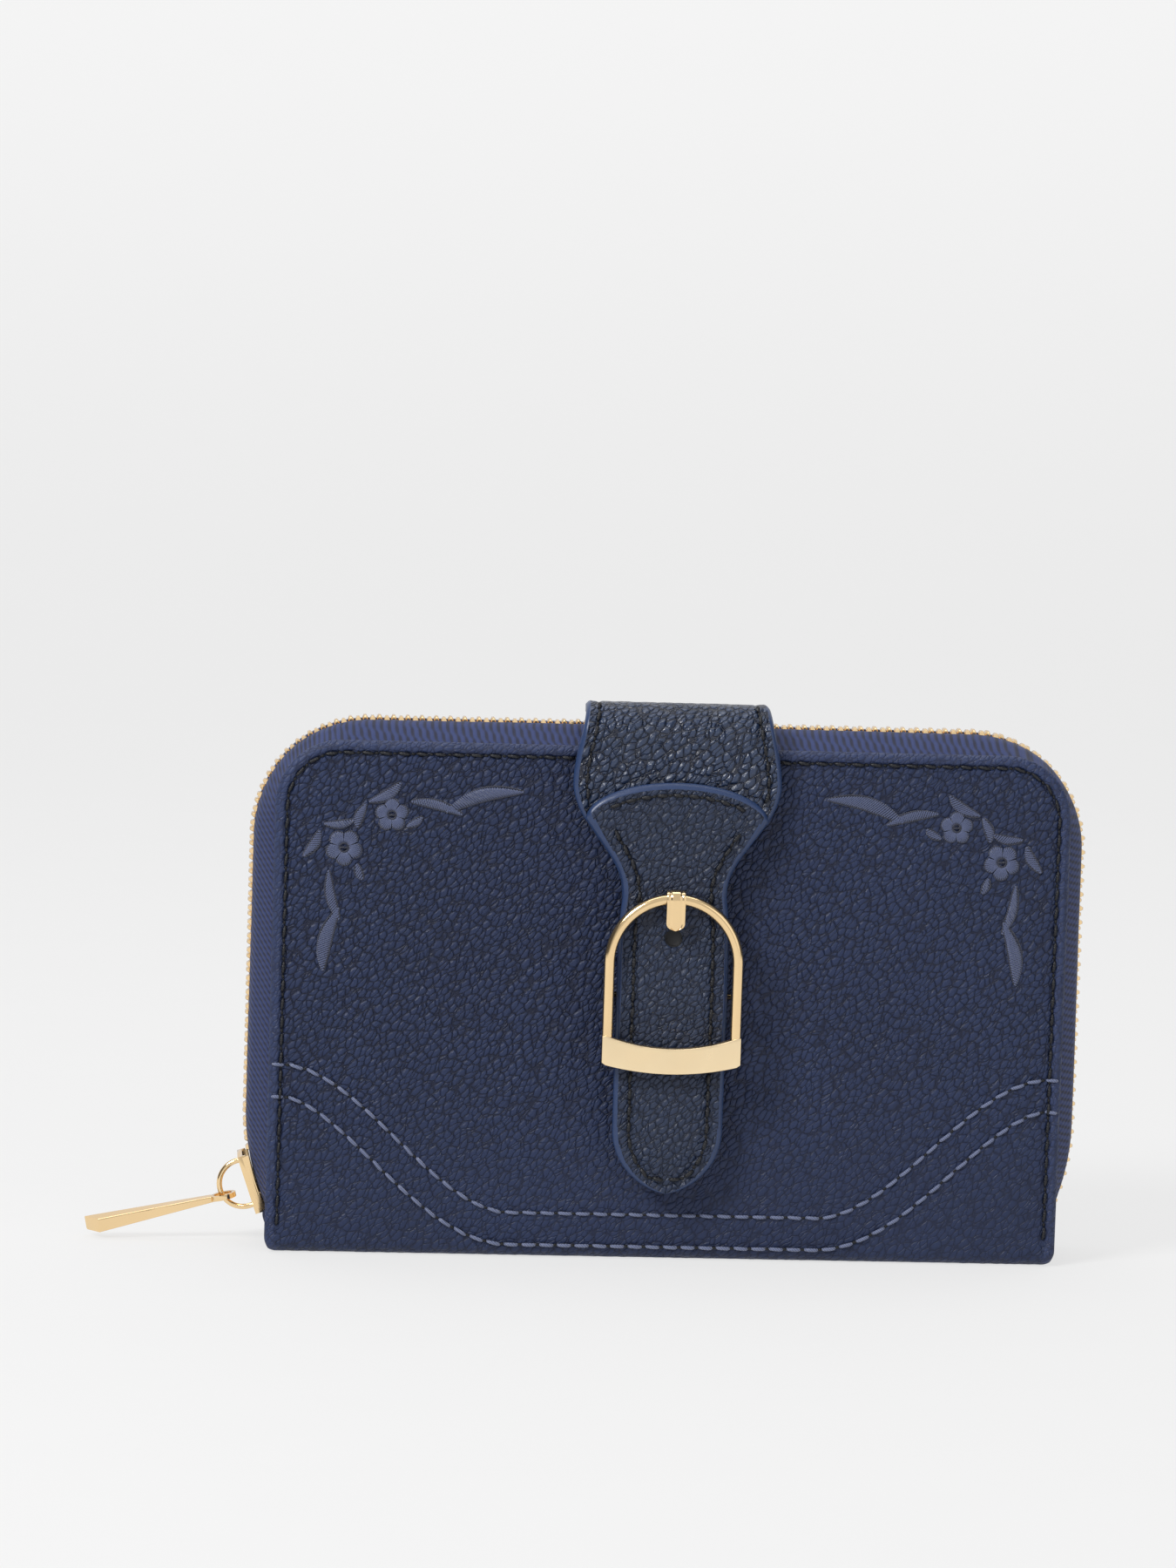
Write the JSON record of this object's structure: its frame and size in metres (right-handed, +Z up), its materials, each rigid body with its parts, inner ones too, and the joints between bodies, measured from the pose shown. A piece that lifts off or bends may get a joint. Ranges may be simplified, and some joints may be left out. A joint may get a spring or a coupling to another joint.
{
  "type": "zip around wallet",
  "caption": "Leather wallet with a zip round three sides, a buckled strap over the top, a middle coin pocket and card slots.",
  "frame": {"origin": "centre of the underside of the spine, halfway between the covers", "axes": "+X to the right seen from the front, the front cover faces -Y, +Z up from the spine to the top of the zip"},
  "size_m": [0.1823, 0.0361, 0.102],
  "materials": {
    "outer_leather": "pebbled, semi matt",
    "strap_leather": "pebbled, semi matt",
    "inner_leather": "smooth, matt",
    "board": "plain",
    "lining": "fine weave",
    "zip_tape": "herringbone weave",
    "gold_metal": "polished, pale gold",
    "buckle_metal": "satin, pale gold",
    "thread": "twisted thread",
    "embroidery_thread": "satin stitch"
  },
  "bodies": {
    "root": {"back_leather": "outer_leather", "back_board": "board", "spine_board": "board", "back_lining": "lining", "back_zip_tape": "zip_tape", "back_zip_teeth": "gold_metal", "back_zip_stop": "gold_metal", "zip_box_stop": "gold_metal", "back_upper_card_slot": "inner_leather", "back_middle_card_slot": "inner_leather", "back_lower_card_slot": "inner_leather", "left_gusset": "inner_leather", "right_gusset": "inner_leather", "strap_back": "strap_leather"},
    "front_cover": {"front_leather": "outer_leather", "front_board": "board", "front_lining": "lining", "front_zip_tape": "zip_tape", "front_zip_teeth": "gold_metal", "front_zip_stop": "gold_metal", "front_upper_card_slot": "inner_leather", "front_middle_card_slot": "inner_leather", "front_lower_card_slot": "inner_leather", "snap_socket": "gold_metal", "snap_socket_washer": "gold_metal", "edge_stitching": "thread", "wave_stitching": "thread", "corner_embroidery": "embroidery_thread"},
    "coin_pocket": {"coin_pocket_front": "inner_leather", "coin_pocket_back": "inner_leather", "coin_zip_tape_front": "zip_tape", "coin_zip_tape_back": "zip_tape", "coin_zip_teeth": "gold_metal"},
    "coin_slider": {"coin_zip_slider": "gold_metal"},
    "coin_puller": {"coin_zip_puller": "gold_metal"},
    "strap_over_top": {"strap_top": "strap_leather"},
    "strap_flap": {"strap_front": "strap_leather", "buckle_strap": "strap_leather", "buckle_frame": "buckle_metal", "snap_stud": "gold_metal", "snap_stud_washer": "gold_metal"},
    "prong": {"buckle_prong": "buckle_metal"},
    "zip_slider": {"zip_slider_body": "gold_metal"},
    "puller": {"zip_puller": "gold_metal"}
  },
  "joints": [
    {"name": "cover_open", "type": "hinge", "parent": "root", "child": "front_cover", "pos_m": [0, -0.0125, 0.0025], "axis": [1, 0, 0], "range_deg": [0, 55], "deforming": ["front_zip_tape", "back_zip_tape", "front_zip_teeth", "back_zip_teeth", "left_gusset", "right_gusset", "strap_front", "buckle_strap"]},
    {"name": "pocket_lean", "type": "hinge", "parent": "root", "child": "coin_pocket", "pos_m": [0, -0.0125, 0.0025], "axis": [1, 0, 0], "range_deg": [0, 30]},
    {"name": "strap_lift", "type": "hinge", "parent": "root", "child": "strap_over_top", "pos_m": [0, 0.0145, 0.088], "axis": [-1, 0, 0], "range_deg": [0, 100], "deforming": ["strap_top"]},
    {"name": "strap_fold", "type": "hinge", "parent": "strap_over_top", "child": "strap_flap", "pos_m": [0, -0.0164, 0.095], "axis": [-1, 0, 0], "range_deg": [0, 170]},
    {"name": "prong_swing", "type": "hinge", "parent": "strap_flap", "child": "prong", "pos_m": [0, -0.0198, 0.06735], "axis": [-1, 0, 0], "range_deg": [0, 100]},
    {"name": "zip_slide", "type": "slide", "parent": "root", "child": "zip_slider", "axis": [0, 0, 1], "range_m": [0, 0.065]},
    {"name": "puller_swing", "type": "hinge", "parent": "zip_slider", "child": "puller", "pos_m": [-0.07641, 0, 0.01053], "axis": [0, 1, 0], "range_deg": [0, 60]},
    {"name": "coin_zip_slide", "type": "slide", "parent": "coin_pocket", "child": "coin_slider", "axis": [1, 0, 0], "range_m": [0, 0.09], "deforming": ["coin_zip_teeth"]},
    {"name": "coin_puller_swing", "type": "hinge", "parent": "coin_slider", "child": "coin_puller", "pos_m": [-0.049, 0, 0.0772], "axis": [0, -1, 0], "range_deg": [0, 170]}
  ],
  "couplings": [
    {"joint": "pocket_lean", "follows": "cover_open", "ratio": 0.5},
    {"joint": "strap_fold", "follows": "cover_open", "ratio": 3}
  ]
}
